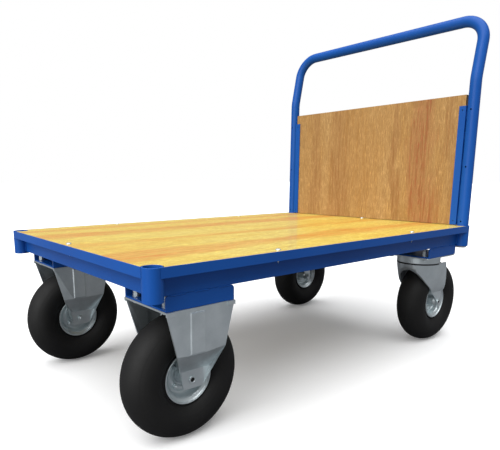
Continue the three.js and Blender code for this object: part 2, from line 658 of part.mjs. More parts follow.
// The bell's outside, or its inside when `t` is the sheet's thickness. Its rear end runs out to x = end.
function bell(t, end) {
  const last = BELL_RINGS.length - 1;
  return hull(BELL_RINGS.flatMap(([radius, x, z], level) => {
    const r = radius - t;
    const height = z + (t > 0 && level === 0 ? 1 : 0) - (t > 0 && level === last ? 1 : 0);
    const ring = Array.from({ length: 20 }, (_, i) => {
      const a = (i / 20) * 2 * Math.PI;
      return [x + r * Math.cos(a), r * Math.sin(a), height];
    });
    return [...ring, [end, r, height], [end, -r, height]];
  }));
}

function swivelFork() {
  const past = CUP_RADIUS + 5;
  const sideView = outline([
    [-past, 252], ...ARCH, [PLATE_REAR, BELL_BOTTOM], [PLATE_REAR, BELL_BOTTOM + 8],
    [52, SKIRT_TOP + 1], [-past, SKIRT_TOP + 1],
  ]);
  const skirt = common(cut(bell(0, 110), bell(FORK_SHEET, 150)), extrudeY(sideView, [-past, past]));
  const legs = [-1, 1].map((side) => (
    extrudeY(outline(LEG), span(side * AXLE_PLATE_Y, side * (AXLE_PLATE_Y - FORK_SHEET)))
  ));

  const collar = union(
    rodZ(CUP_BORE - 2 * GAP, [HEAD_BOTTOM, HEAD_TOP], 0, 0, 32),
    rodZ(CUP_RADIUS - FORK_SHEET / 2 - 1, [HEAD_BOTTOM, SKIRT_TOP], 0, 0, 32),
  );
  const hollow = rodZ(CUP_BORE - 4.5, [HEAD_BOTTOM - 1, HEAD_TOP - HEAD_SHEET], 0, 0, 32);
  const kingHole = rodZ(KING_RADIUS + GAP, [HEAD_BOTTOM, HEAD_TOP + 1], 0, 0, 20);
  const clearSide = TYRE_WIDTH / 2 + 4;
  const wheelSpace = rodY(WHEEL_RADIUS + 3, [-clearSide, clearSide], TRAIL, WHEEL_RADIUS, 40);
  const head = cut(collar, hollow, kingHole, wheelSpace);
  return cut(union(skirt, head, ...legs), axleHole(TRAIL));
}

const KING_HEAD = 14;
function kingBolt() {
  const head = [257, HEAD_TOP - HEAD_SHEET - GAP];
  return union(
    rodZ(KING_RADIUS, [head[0] + 1, FORK_TOP - GAP], 0, 0, 20),
    rodZ(KING_HEAD, head, 0, 0, 6),
  );
}

function buildCasters() {
  for (const [sideName, side] of Object.entries(SIDES)) {
    const fixed = new THREE.Group();
    fixed.position.set(FIXED_AXLE_X, side * WHEEL_Y, 0);
    trolley.add(fixed);
    place(fixed, `fixed_fork_front_${sideName}`, fixedFork(), zinc());
    addWheel(fixed, `front_${sideName}`, side, 0);

    const swivel = new THREE.Group();
    swivel.position.set(KING_PIN_X, side * WHEEL_Y, 0);
    trolley.add(swivel);
    place(swivel, `swivel_plate_rear_${sideName}`, swivelPlate(), zinc());
    place(swivel, `swivel_fork_rear_${sideName}`, swivelFork(), zinc());
    place(swivel, `king_bolt_rear_${sideName}`, kingBolt(), darkSteel());
    addWheel(swivel, `rear_${sideName}`, side, TRAIL);
  }
}

buildFrame();
buildHandle();
buildCasters();

export default trolley;
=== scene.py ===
"""Looks of the platform trolley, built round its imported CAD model. Metres, +Z up, floor at z = 0.
-X is the open front end, +X the handle end, -Y the left side for the person pushing."""
import json
import math
import random

import bmesh
import bpy
from mathutils import Matrix, Vector


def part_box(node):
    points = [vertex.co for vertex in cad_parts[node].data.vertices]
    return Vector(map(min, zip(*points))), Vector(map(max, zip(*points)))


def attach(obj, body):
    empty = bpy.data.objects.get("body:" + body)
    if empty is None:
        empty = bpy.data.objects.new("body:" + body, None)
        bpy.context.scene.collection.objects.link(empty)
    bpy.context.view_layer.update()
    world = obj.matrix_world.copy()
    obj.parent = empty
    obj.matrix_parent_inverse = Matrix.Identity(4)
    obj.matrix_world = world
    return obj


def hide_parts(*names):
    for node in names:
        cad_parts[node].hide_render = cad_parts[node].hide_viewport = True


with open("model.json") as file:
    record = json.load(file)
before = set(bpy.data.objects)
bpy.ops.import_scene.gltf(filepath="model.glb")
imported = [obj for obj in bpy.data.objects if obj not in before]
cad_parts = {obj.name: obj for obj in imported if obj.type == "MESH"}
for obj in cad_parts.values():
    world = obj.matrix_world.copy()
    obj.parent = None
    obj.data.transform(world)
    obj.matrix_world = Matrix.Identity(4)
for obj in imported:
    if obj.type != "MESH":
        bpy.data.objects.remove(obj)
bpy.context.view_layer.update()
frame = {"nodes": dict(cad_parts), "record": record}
nodes = frame["nodes"]

BODY = {n: body for body, members in frame["record"]["behaviour"]["bodies"].items() for n in members}
SLOT = {s["node"]: s["material_slot"] for s in frame["record"]["subparts"]}
SIDES = {"left": -1, "right": 1}
ENDS = ("front", "rear")
X, Y, Z = range(3)
MM = 0.001

# Sizes in mm, the same as the CAD model's.
FIT = 0.1  # gap between stacked fasteners
SOCKET_RADIUS = 19.0
SOCKET_BORE = 16.4
SOCKET_WELD_TOP = 353.0  # just under the edge angles
TUBE_RADIUS = 16.0
TUBE_WALL = 2.0
GRIP_BEND = 67.0
KINK_BEND = 110.0
KINK_HEIGHT = 802.0
LEAN_LENGTH = 175.0
LEAN = math.radians(11.5)
DRILL_HEIGHTS = (386, 549, 714)
BOARD_SCREW_HEIGHTS = (386, 714)
ANGLE_WELD_HEIGHTS = (400, 480, 560, 640, 700)
ANGLE_WELD_HALF = 11  # half the length of each
CHANNEL_STITCHES = ((8, 42), (62, 96), (116, 148))  # start and end, from the channel's front
WHEEL_RADIUS = 130.0
TYRE_WIDTH = 86.0
TYRE_HALF_HEIGHT = 40.0
CASING = 8.0
RIM_FACE = 8.6  # outer face of the rim's disc, from the wheel's middle
RIM_BOLT_CIRCLE = 28.0
AXLE_PLATE_Y = 41.0  # outer face of a fork's lower plates, from the wheel's middle
AXLE_HOLE = 6.3
FORK_SHEET = 3.5
FORK_TOP = 285.7
CHANNEL_LENGTH = 156.0
CHANNEL_WIDTH = 150.0
CHANNEL_FLOOR = 289.5  # top of a caster channel's web
PLATE_SHEET = 3.0
CUP_RADIUS = 63.0
CUP_BORE = 59.0
CUP_BOTTOM = 262.5
SKIRT_TOP = CUP_BOTTOM - 0.6
HEAD_TOP = 270.0
HEAD_BOTTOM = 254.0
HEAD_SHEET = 4.0
BELL_BOTTOM = 163.0
LEG_REAR = 88.0
TRAIL = 66.0
KING_RADIUS = 8.0
KING_HOLE = KING_RADIUS + 0.3
KING_HEAD_BOTTOM = 257.2
BOLT_X = 64.0
BOLT_Y = 54.0
BOLT_HOLE = 5.5
BOLT_TOP = 310.5
NUT_HEIGHT = 6.5
SMALL_NUT_HEIGHT = 5.0
BOLT_HEAD_HEIGHT = 5.3
WASHER_HEIGHT = 1.5


def middle(node):
    low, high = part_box(node)
    return (low + high) / 2


# ---------- materials ----------
class Nodes:
    """A Principled material with short calls for the nodes that drive it."""

    def __init__(self, name, **constants):
        self.material = bpy.data.materials.new(name)
        self.material.use_nodes = True
        self.tree = self.material.node_tree
        self.shader = self.tree.nodes["Principled BSDF"]
        self.coordinates = self.tree.nodes.new("ShaderNodeTexCoord")
        for socket, value in constants.items():
            self.shader.inputs[socket.replace("_", " ")].default_value = value

    def add(self, kind, values=None, **properties):
        node = self.tree.nodes.new("ShaderNode" + kind)
        for key, value in properties.items():
            setattr(node, key, value)
        for socket, value in (values or {}).items():
            if isinstance(value, bpy.types.NodeSocket):
                self.tree.links.new(value, node.inputs[socket])
            else:
                node.inputs[socket].default_value = value
        return node

    def place(self, scale):
        """Object coordinates, stretched along each axis."""
        node = self.add("Mapping", {"Vector": self.coordinates.outputs["Object"]})
        node.inputs["Scale"].default_value = scale
        return node.outputs[0]

    def noise(self, scale, detail=3.0, roughness=0.5, stretch=(1, 1, 1), distortion=0.0):
        return self.add("TexNoise", {
            "Vector": self.place(stretch), "Scale": scale, "Detail": detail,
            "Roughness": roughness, "Distortion": distortion,
        }).outputs["Fac"]

    def ramp(self, factor, *stops):
        node = self.add("ValToRGB", {"Fac": factor})
        elements = node.color_ramp.elements
        while len(elements) < len(stops):
            elements.new(0.5)
        for element, (position, colour) in zip(elements, stops):
            element.position = position
            element.color = (*colour, 1)
        return node.outputs["Color"]

    def spread(self, factor, low, high):
        """A 0..1 pattern turned into the range low..high."""
        return self.add("MapRange", {"Value": factor, "To Min": low, "To Max": high}).outputs["Result"]

    def mix(self, factor, a, b):
        node = self.add("Mix", data_type="RGBA")
        for index, value in ((0, factor), (6, a), (7, b)):
            if isinstance(value, bpy.types.NodeSocket):
                self.tree.links.new(value, node.inputs[index])
            else:
                node.inputs[index].default_value = value if index == 0 else (*value, 1)
        return node.outputs[2]

    def maths(self, operation, a, b=0.0):
        return self.add("Math", {0: a, 1: b}, operation=operation).outputs[0]

    def bump(self, height, distance, strength):
        values = {"Height": height, "Distance": distance, "Strength": strength}
        return self.add("Bump", values).outputs["Normal"]

    def out(self, socket, value):
        self.tree.links.new(value, self.shader.inputs[socket])


def grey(v):
    return (v, v, v)


def blue_paint():
    """Powder coat: smooth satin with a faint orange peel, a little dust and uneven sheen."""
    m = Nodes("blue_powder_coat", Specular_IOR_Level=0.24, IOR=1.45)
    cloud = m.noise(3.5, 4, 0.55)
    speck = m.noise(240, 2, 0.6)
    tone = m.ramp(cloud, (0.3, (0.0065, 0.074, 0.340)), (0.7, (0.0090, 0.092, 0.395)))
    dust = m.ramp(speck, (0.62, grey(0)), (0.78, grey(1)))
    m.out("Base Color", m.mix(m.maths("MULTIPLY", dust, 0.10), tone, (0.03, 0.14, 0.48)))
    m.out("Roughness", m.spread(m.noise(14, 4, 0.6), 0.30, 0.48))
    m.out("Normal", m.bump(m.noise(420, 1, 0.4), 0.00010, 0.25))
    return m.material


PLY = 0.0018


def wood(name, along, across, thickness, tones, streaks, coat):
    """Lacquered veneer on plywood. `along` is the grain's axis, `across` the board's width and
    `thickness` its normal. Each streak is (place across, half width, colour, strength)."""
    m = Nodes(name, Coat_Weight=coat, Coat_Roughness=0.03, Coat_IOR=1.5, Specular_IOR_Level=0.25,
              IOR=1.45)

    def stretch(length, width):
        scale = [width, width, width]
        scale[along] = length
        return scale

    def share(pattern, start, end, amount):
        return m.maths("MULTIPLY", m.ramp(pattern, (start, grey(0)), (end, grey(1))), amount)

    def centred(pattern, width):
        return m.maths("MULTIPLY", m.maths("SUBTRACT", pattern, 0.5), width)

    def darker(colour, amount):
        return tuple(c * amount for c in colour)

    low, base, high = tones
    dark = darker(low, 0.55)
    where = m.add("SeparateXYZ", {0: m.coordinates.outputs["Object"]})
    # The streaks wander slowly along the board and have ragged edges.
    drift = m.noise(1.0, 3, 0.6, stretch(2.2, 6.0), 0.4)
    ragged = m.noise(1.0, 4, 0.7, stretch(5.0, 60.0), 0.8)
    side = m.maths("ADD", where.outputs[across], m.maths("ADD", centred(drift, 0.16), centred(ragged, 0.05)))
    cloud = m.noise(1.0, 4, 0.6, stretch(2.4, 7.5), 0.7)
    colour = m.ramp(cloud, (0.34, high), (0.50, base), (0.68, low))
    for place, half, tone, strength in streaks:
        away = m.maths("DIVIDE", m.maths("ABSOLUTE", m.maths("SUBTRACT", side, place)), half)
        fade = m.ramp(away, (0.35, grey(1)), (1.0, grey(0)))
        broken = m.spread(m.noise(1.0, 3, 0.6, stretch(3.4, 26.0)), 0.45, 1.55)
        colour = m.mix(m.maths("MULTIPLY", m.maths("MULTIPLY", fade, broken), strength), colour, tone)
    figure = m.noise(1.0, 6, 0.62, stretch(4.5, 95.0), 1.6)
    fibre = m.noise(1.0, 5, 0.65, stretch(16, 460), 0.3)
    pore = m.noise(1.0, 2, 0.5, stretch(46, 900))
    colour = m.mix(share(figure, 0.50, 0.62, 0.45), colour, low)
    colour = m.mix(share(figure, 0.47, 0.34, 0.40), colour, high)
    colour = m.mix(share(fibre, 0.53, 0.36, 0.50), colour, dark)
    colour = m.mix(share(pore, 0.42, 0.28, 0.60), colour, dark)
    # Plies show on the faces that stand square to the board.
    facing = m.add("SeparateXYZ", {0: m.coordinates.outputs["Normal"]}).outputs[thickness]
    on_edge = m.maths("LESS_THAN", m.maths("ABSOLUTE", facing), 0.6)
    layer = m.maths("SINE", m.maths("MULTIPLY", where.outputs[thickness], math.pi / PLY))
    plies = m.mix(m.maths("GREATER_THAN", layer, 0.0), darker(low, 0.50), darker(low, 0.28))
    m.out("Base Color", m.mix(on_edge, colour, plies))
    m.out("Roughness", m.spread(fibre, 0.36, 0.54))
    m.out("Normal", m.bump(fibre, 0.00018, 0.35))
    return m.material


def deck_wood():
    orange = (0.80, 0.22, 0.032)
    amber = (0.86, 0.40, 0.050)
    tones = ((0.90, 0.52, 0.070), (0.98, 0.80, 0.15), (0.99, 0.90, 0.25))
    streaks = ((-0.232, 0.060, orange, 1.3), (-0.045, 0.034, amber, 1.0),
               (0.145, 0.055, orange, 1.2), (0.285, 0.035, orange, 0.9))
    return wood("deck_veneer", X, Y, Z, tones, streaks, 0.24)


def board_wood():
    red = (0.37, 0.100, 0.042)
    brown = (0.34, 0.150, 0.052)
    tones = ((0.47, 0.245, 0.072), (0.56, 0.325, 0.112), (0.64, 0.41, 0.17))
    streaks = ((-0.205, 0.048, red, 1.1), (-0.120, 0.020, brown, 0.9), (0.115, 0.050, brown, 0.8),
               (0.225, 0.026, brown, 0.8), (-0.292, 0.018, brown, 0.6))
    return wood("board_veneer", Z, Y, X, tones, streaks, 0.40)


def zinc_steel():
    """Bright zinc plating: soft spangle, faint draw marks and some handling smudges."""
    m = Nodes("zinc_plate", Metallic=0.85, IOR=1.6)
    cells = m.add("TexVoronoi", {"Vector": m.place((1, 1, 1)), "Scale": 90.0, "Randomness": 1.0})
    spangle = m.ramp(cells.outputs["Color"], (0.2, grey(0.0)), (0.8, grey(1.0)))
    smudge = m.noise(22, 5, 0.6)
    marks = m.noise(1.0, 3, 0.6, (60, 60, 900))
    wear = m.maths("ADD", m.maths("MULTIPLY", smudge, 0.7), m.maths("MULTIPLY", marks, 0.3))
    tone = m.ramp(smudge, (0.30, (0.60, 0.67, 0.69)), (0.70, (0.74, 0.81, 0.83)))
    m.out("Base Color", m.mix(m.maths("MULTIPLY", spangle, 0.16), tone, (0.76, 0.83, 0.85)))
    m.out("Roughness", m.spread(wear, 0.26, 0.50))
    m.out("Normal", m.bump(marks, 0.00006, 0.22))
    return m.material


def dark_steel():
    """Black oxide, thin in patches."""
    m = Nodes("black_oxide_steel", Metallic=0.8, IOR=1.6)
    patch = m.noise(160, 4, 0.6)
    m.out("Base Color", m.ramp(patch, (0.35, (0.030, 0.034, 0.038)), (0.70, (0.085, 0.090, 0.096))))
    m.out("Roughness", m.spread(patch, 0.34, 0.58))
    m.out("Normal", m.bump(m.noise(900, 2, 0.5), 0.00008, 0.3))
    return m.material


def tyre_rubber():
    """Moulded rubber: near black, dull, with fine grain and a light grey bloom in places."""
    m = Nodes("tyre_rubber", Specular_IOR_Level=0.28, IOR=1.45)
    bloom = m.noise(9, 5, 0.6)
    m.out("Base Color", m.ramp(bloom, (0.30, grey(0.0080)), (0.75, (0.0135, 0.0132, 0.0130))))
    m.out("Roughness", m.spread(m.noise(30, 4, 0.6), 0.50, 0.72))
    m.out("Normal", m.bump(m.noise(1400, 2, 0.6), 0.00014, 0.30))
    return m.material


def grey_plastic():
    m = Nodes("grey_plastic", IOR=1.46)
    m.out("Base Color", m.ramp(m.noise(60, 3, 0.5), (0.3, grey(0.40)), (0.7, grey(0.47))))
    m.out("Roughness", m.spread(m.noise(300, 2, 0.5), 0.42, 0.60))
    m.out("Normal", m.bump(m.noise(1200, 2, 0.5), 0.00008, 0.35))
    return m.material


FINISH = {
    "blue_paint": blue_paint(), "deck_wood": deck_wood(), "board_wood": board_wood(),
    "zinc_steel": zinc_steel(), "dark_steel": dark_steel(), "tyre_rubber": tyre_rubber(),
    "grey_plastic": grey_plastic(),
}
for name, node in nodes.items():
    node.data.materials.clear()
    node.data.materials.append(FINISH[SLOT[name]])


# ---------- mesh helpers ----------
def new_object(name, mesh):
    obj = bpy.data.objects.new(name, mesh)
    bpy.context.scene.collection.objects.link(obj)
    return obj


def from_bmesh(name, bm):
    bmesh.ops.recalc_face_normals(bm, faces=bm.faces)
    mesh = bpy.data.meshes.new(name)
    bm.to_mesh(mesh)
    bm.free()
    return new_object(name, mesh)


def apply_modifiers(obj):
    graph = bpy.context.evaluated_depsgraph_get()
    mesh = bpy.data.meshes.new_from_object(obj.evaluated_get(graph))
    obj.modifiers.clear()
    obj.data = mesh
    return obj


def boolean(obj, tool, operation="DIFFERENCE"):
    """Cuts, joins or intersects with a tool object, which is used up."""
    modifier = obj.modifiers.new("cut", "BOOLEAN")
    modifier.operation = operation
    modifier.object = tool
    modifier.solver = "EXACT"
    apply_modifiers(obj)
    bpy.data.objects.remove(tool)
    return obj


def clean(obj, angle=0.8, merge=0.002):
    """Joins the flat triangles of a solid into whole faces. Corners closer than `merge` mm join."""
    bm = bmesh.new()
    bm.from_mesh(obj.data)
    bmesh.ops.remove_doubles(bm, verts=bm.verts, dist=merge * MM)
    bmesh.ops.dissolve_limit(bm, angle_limit=math.radians(angle), verts=bm.verts, edges=bm.edges)
    bm.to_mesh(obj.data)
    bm.free()
    return obj


def round_edges(obj, width, segments=2, angle=28):
    """Rounds, by `width` mm, the edges sharper than `angle` degrees."""
    modifier = obj.modifiers.new("round", "BEVEL")
    modifier.width = width * MM
    modifier.segments = segments
    modifier.limit_method = "ANGLE"
    modifier.angle_limit = math.radians(angle)
    modifier.use_clamp_overlap = True
    modifier.miter_outer = "MITER_ARC"
    return apply_modifiers(obj)


def shade(obj, sharp=None):
    """Smooth shading that keeps flat faces flat. With `sharp`, edges over that angle stay crisp."""
    for polygon in obj.data.polygons:
        polygon.use_smooth = True
    if sharp is not None:
        obj.data.set_sharp_from_angle(angle=math.radians(sharp))
    modifier = obj.modifiers.new("normals", "WEIGHTED_NORMAL")
    modifier.keep_sharp = sharp is not None
    modifier.weight = 80
    return apply_modifiers(obj)


def dress(obj, slot, body, *replaced):
    """Gives a finished piece its material and its body, and hides the CAD nodes that it stands for."""
    obj.data.materials.clear()
    obj.data.materials.append(FINISH[slot])
    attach(obj, body)
    if replaced:
        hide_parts(*replaced)
    return obj


def lathe(name, profile, turn=Matrix.Identity(4), sides=96):
    """Closed outline of (radius, height) in mm, turned round Z, then moved by `turn`."""
    bm = bmesh.new()
    angles = [2 * math.pi * i / sides for i in range(sides)]
    rings = [
        [bm.verts.new((radius * MM * math.cos(a), radius * MM * math.sin(a), height * MM))
         for a in (angles if radius else angles[:1])]
        for radius, height in profile
    ]
    for ring, after in zip(rings, rings[1:] + rings[:1]):
        for i in range(sides):
            j = (i + 1) % sides
            corners = [ring[i % len(ring)], ring[j % len(ring)], after[j % len(after)], after[i % len(after)]]
            corners = [v for n, v in enumerate(corners) if v not in corners[:n]]
            if len(corners) > 2:
                bm.faces.new(corners)
    obj = from_bmesh(name, bm)
    obj.data.transform(turn)
    return obj


def prism(name, outline, low, high, axis="Z"):
    """Outline in mm pulled from low to high along Z or Y. Its plane is XY or XZ."""
    bm = bmesh.new()
    ends = [
        [bm.verts.new(Vector((u, v, w) if axis == "Z" else (u, w, v)) * MM) for u, v in outline]
        for w in (low, high)
    ]
    bm.faces.new(ends[0])
    bm.faces.new(reversed(ends[1]))
    count = len(outline)
    for i in range(count):
        j = (i + 1) % count
        bm.faces.new((ends[0][i], ends[0][j], ends[1][j], ends[1][i]))
    return from_bmesh(name, bm)


def hull(name, points):
    bm = bmesh.new()
    for point in points:
        bm.verts.new(Vector(point) * MM)
    made = bmesh.ops.convex_hull(bm, input=bm.verts)
    inside = made["geom_interior"] + made["geom_unused"]
    loose = {v for v in inside if isinstance(v, bmesh.types.BMVert)}
    bmesh.ops.delete(bm, geom=list(loose), context="VERTS")
    return from_bmesh(name, bm)


def sweep(name, points, radius_at, sides):
    """Round rod through points in mm. radius_at gives the radius in mm at each point's index."""
    bm = bmesh.new()
    rings = []
    for i, point in enumerate(points):
        tangent = (points[min(i + 1, len(points) - 1)] - points[max(i - 1, 0)]).normalized()
        reference = Vector((1, 0, 0)) if abs(tangent.x) < 0.9 else Vector((0, 0, 1))
        across = (reference - tangent * reference.dot(tangent)).normalized()
        third = tangent.cross(across)
        ring = []
        for k in range(sides):
            a = 2 * math.pi * k / sides
            offset = radius_at(i) * (across * math.cos(a) + third * math.sin(a))
            ring.append(bm.verts.new((point + offset) * MM))
        rings.append(ring)
    for ring, after in zip(rings, rings[1:]):
        for k in range(sides):
            j = (k + 1) % sides
            bm.faces.new((ring[k], ring[j], after[j], after[k]))
    bm.faces.new(rings[0])
    bm.faces.new(rings[-1])
    return from_bmesh(name, bm)


def join(objects, name):
    """One mesh of several objects, which are used up."""
    bm = bmesh.new()
    for obj in objects:
        bm.from_mesh(obj.data)
        bpy.data.objects.remove(obj)
    return from_bmesh(name, bm)


def moved(x, y, z):
    """A shift in mm."""
    return Matrix.Translation(Vector((x, y, z)) * MM)


def turned(angle, axis):
    return Matrix.Rotation(math.radians(angle), 4, axis)


def copy_of(source, name, matrix):
    obj = new_object(name, source.data.copy())
    obj.data.transform(matrix)
    return obj


def rod(radius, low, high, x=0.0, y=0.0, sides=64):
    """Upright cylinder in mm."""
    return lathe("rod", [(0, low), (radius, low), (radius, high), (0, high)], moved(x, y, 0), sides)


def cross_rod(radius, half_length, x, z, sides):
    """Cylinder along Y, centred on y = 0."""
    return lathe("rod", [(0, -half_length), (radius, -half_length), (radius, half_length), (0, half_length)],
                 moved(x, 0, z) @ turned(-90, "X"), sides)


# ---------- outlines ----------
def arc(centre_u, centre_v, radius, start, end, steps):
    """Points of an arc in mm; angles in degrees."""
    angles = [math.radians(start + (end - start) * i / steps) for i in range(steps + 1)]
    return [(centre_u + radius * math.cos(a), centre_v + radius * math.sin(a)) for a in angles]


def curve(p0, p1, p2, steps):
    """Points of a quadratic curve, without its first point."""
    return [tuple((1 - t) ** 2 * a + 2 * t * (1 - t) * b + t * t * c for a, b, c in zip(p0, p1, p2))
            for t in (i / steps for i in range(1, steps + 1))]


def smooth(points, steps):
    """Catmull-Rom curve through the points."""
    ends = [points[0]] + points + [points[-1]]
    path = []
    for quad in zip(ends, ends[1:], ends[2:], ends[3:]):
        for t in (i / steps for i in range(steps)):
            path.append(tuple(
                0.5 * (2 * q + (r - p) * t + (2 * p - 5 * q + 4 * r - s) * t * t
                       + (3 * q - p - 3 * r + s) * t ** 3)
                for p, q, r, s in zip(*quad)
            ))
    return path + [points[-1]]


def mirrored(half):
    """A half outline of (radius, height) followed by its mirror image below height 0."""
    return half + [(r, -h) for r, h in reversed(half)]


def dome(radius, base, height, steps):
    """Points of a domed head, from its rim to just short of its top."""
    return [(radius * math.cos(a), base + height * math.sin(a))
            for a in (math.pi / 2 * i / steps for i in range(steps))]


# ---------- shared small parts, built once ----------
def hexagon(flat):
    corner = flat / math.sqrt(3)
    return [(corner * math.cos(math.radians(60 * i)), corner * math.sin(math.radians(60 * i)))
            for i in range(6)]


def thread_profile(radius, low, high, pitch):
    """Outline of a threaded rod drawn as fine rings, from low to high."""
    chamfer = 0.5
    points = [(0, low), (radius - chamfer, low), (radius, low + chamfer)]
    height = low + chamfer
    while height + pitch < high - chamfer:
        points += [(radius, height + 0.25 * pitch), (radius * 0.90, height + 0.6 * pitch),
                   (radius, height + 0.95 * pitch)]
        height += pitch
    return points + [(radius, high - chamfer), (radius - chamfer, high), (0, high)]


def hex_nut(name, flat, height, bore, collar=0.0):
    """Hexagon chamfered at both ends, with a bore and, on a locknut, a round collar on top."""
    corner = flat / math.sqrt(3)
    slope = (corner - flat / 2) * 0.6
    top = height + collar
    nut = prism(name, hexagon(flat), 0, height)
    barrel = [(0, 0), (flat / 2 - 0.1, 0), (corner + 0.1, slope), (corner + 0.1, height - slope),
              (flat / 2 - 0.1, height), (0, height)]
    boolean(nut, lathe("barrel", barrel, sides=48), "INTERSECT")
    if collar:
        ring = [(0, height - 0.5), (flat / 2 - 0.6, height - 0.5), (flat / 2 - 0.6, top - 0.8),
                (flat / 2 - 1.4, top), (0, top)]
        boolean(nut, lathe("ring", ring, sides=48), "UNION")
    if bore:
        boolean(nut, rod(bore, -1, top + 1, sides=32))
    return shade(round_edges(clean(nut), 0.18, 2), 35)


def cross_recess(obj, top, depth, length, width):
    """Cuts a cross into a screw's head from above. All sizes in mm."""
    bar = [(-length / 2, -width / 2), (length / 2, -width / 2), (length / 2, width / 2),
           (-length / 2, width / 2)]
    for angle in (0, 90):
        tool = prism("bar", bar, top - depth, top + 2)
        tool.data.transform(turned(angle, "Z"))
        boolean(obj, tool)
    return obj


def washer(name, inner, outer, height):
    profile = [(inner, 0), (outer - 0.2, 0), (outer, 0.2), (outer, height - 0.3), (outer - 0.3, height),
               (inner + 0.2, height), (inner, height - 0.2)]
    return shade(lathe(name, profile, sides=48), 35)


NUT = hex_nut("nut", 13, NUT_HEIGHT, 4.0)
LOCKNUT = hex_nut("locknut", 13, 6.2, 4.0, 1.9)
BOLT_HEAD = hex_nut("bolt_head", 13, BOLT_HEAD_HEIGHT, 0)
WASHER = washer("washer", 4.2, 8.0, WASHER_HEIGHT)
SMALL_NUT = hex_nut("small_nut", 10, SMALL_NUT_HEIGHT, 3.0)
SHARED = [NUT, LOCKNUT, BOLT_HEAD, WASHER, SMALL_NUT]


def add_shared(source, name, matrix, slot, body, *replaced):
    return dress(copy_of(source, name, matrix), slot, body, *replaced)


def weld(name, start, end, radius, body):
    """Painted weld bead between two points in mm: a low row of overlapping ripples."""
    start = Vector(start)
    end = Vector(end)
    count = max(int((end - start).length / 0.8), 6)
    rng = random.Random(name)
    points = [start.lerp(end, i / count) for i in range(count + 1)]

    def radius_at(i):
        taper = min(1.0, 0.35 + 0.25 * min(i, count - i))
        return radius * taper * (0.90 + 0.12 * math.sin(i * 1.9) + 0.05 * rng.random())

    return dress(shade(sweep(name, points, radius_at, 10), 60), "blue_paint", body)


# ---------- frame ----------
def solid_of(node, name):
    """A fresh mesh with the CAD node's own corners and faces."""
    source = nodes[node].data
    mesh = bpy.data.meshes.new(name)
    mesh.from_pydata([v.co[:] for v in source.vertices], [], [p.vertices[:] for p in source.polygons])
    return new_object(name, mesh)


def refine(node, width, segments=3, angle=28, merge=0.002):
    """The CAD node again, with its edges rounded as a press brake or a plane leaves them."""
    obj = clean(solid_of(node, "fine_" + node), merge=merge)
    return dress(shade(round_edges(obj, width, segments, angle)), SLOT[node], BODY[node], node)


PRESSED = ("edge_angle", "side_rail", "end_rail", "cross_member", "caster_channel", "board_angle")
for node in nodes:
    if node.startswith(PRESSED):
        refine(node, 0.8)
refine("end_board", 1.2)

sockets = {f"{end}_{side}": middle(f"corner_socket_{end}_{side}") / MM for end in ENDS for side in SIDES}
casters = {f"{end}_{side}": middle(f"caster_channel_{end}_{side}") / MM for end in ENDS for side in SIDES}


def corner_socket(corner, centre):
    """Short tube with rounded ends, welded to the rails and the edge angles on both sides."""
    node = f"corner_socket_{corner}"
    low, high = (v.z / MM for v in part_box(node))
    profile = [(SOCKET_BORE, low + 0.6), (SOCKET_BORE + 0.6, low)]
    profile += arc(SOCKET_RADIUS - 1.0, low + 1.0, 1.0, -90, 0, 4)
    profile += arc(SOCKET_RADIUS - 1.0, high - 1.0, 1.0, 0, 90, 4)
    profile += [(SOCKET_BORE + 0.6, high), (SOCKET_BORE, high - 0.6)]
    tube = lathe(f"fine_{node}", profile, moved(centre.x, centre.y, 0))
    dress(shade(tube), "blue_paint", "frame", node)
    inward_x = 1 if centre.x < 0 else -1
    inward_y = 1 if centre.y < 0 else -1
    reach = SOCKET_RADIUS + 0.3
    # Each bead stands 15 degrees off the line to the rail that it joins.
    for which, (along_x, along_y) in (("x", (0.26, 0.966)), ("y", (0.966, 0.26))):
        x = centre.x + inward_x * along_x * reach
        y = centre.y + inward_y * along_y * reach
        weld(f"socket_weld_{which}_{corner}", (x, y, low + 6), (x, y, SOCKET_WELD_TOP), 1.5, "frame")


def deck_board():
    """Notched round the sockets, with its edges eased."""
    low, high = (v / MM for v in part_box("deck_board"))
    notch = SOCKET_RADIUS + 1
    edge = high.y - sockets["rear_right"].y
    reach = math.degrees(math.atan2(math.sqrt(notch ** 2 - edge ** 2), edge))
    outline = []
    for turn, corner in enumerate(("rear_right", "front_right", "front_left", "rear_left")):
        start = 90 * turn - reach
        outline += arc(sockets[corner].x, sockets[corner].y, notch, start, start + 2 * reach - 270, 24)
    deck = prism("fine_deck_board", outline, low.z, high.z)
    dress(shade(round_edges(deck, 1.0, 3, 40)), "deck_wood", "frame", "deck_board")


def channel_welds(corner, centre):
    """Stitch welds along the top of a caster channel, under the side rail."""
    low, high = (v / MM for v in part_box(f"caster_channel_{corner}"))
    y = low.y - 0.2 if centre.y < 0 else high.y + 0.2
    z = high.z - 0.2
    for index, (start, end) in enumerate(CHANNEL_STITCHES):
        weld(f"channel_weld_{index}_{corner}", (low.x + start, y, z), (low.x + end, y, z), 1.6, "frame")


def deck_screw():
    """Domed head with a cross recess and a pointed tip under the edge angle."""
    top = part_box("deck_screw_front")[1].z / MM
    neck = top - 3.2
    profile = [(0, top - 31.5), (3, top - 24.5), (3, neck), (6, neck)]
    profile += dome(6, neck + 0.35, 2.85, 8) + [(0, top)]
    screw = cross_recess(lathe("screw", profile, sides=48), top, 1.7, 5.2, 1.1)
    return shade(screw, 40)


for corner, centre in sockets.items():
    corner_socket(corner, centre)
deck_board()
for corner, centre in casters.items():
    channel_welds(corner, centre)
SCREW = deck_screw()
SHARED.append(SCREW)
for node in [n for n in nodes if n.startswith("deck_screw")]:
    place = middle(node) / MM
    turn = turned(math.degrees(random.Random(node).random() * 3), "Z")
    add_shared(SCREW, "fine_" + node, moved(place.x, place.y, 0) @ turn, "zinc_steel", "frame", node)

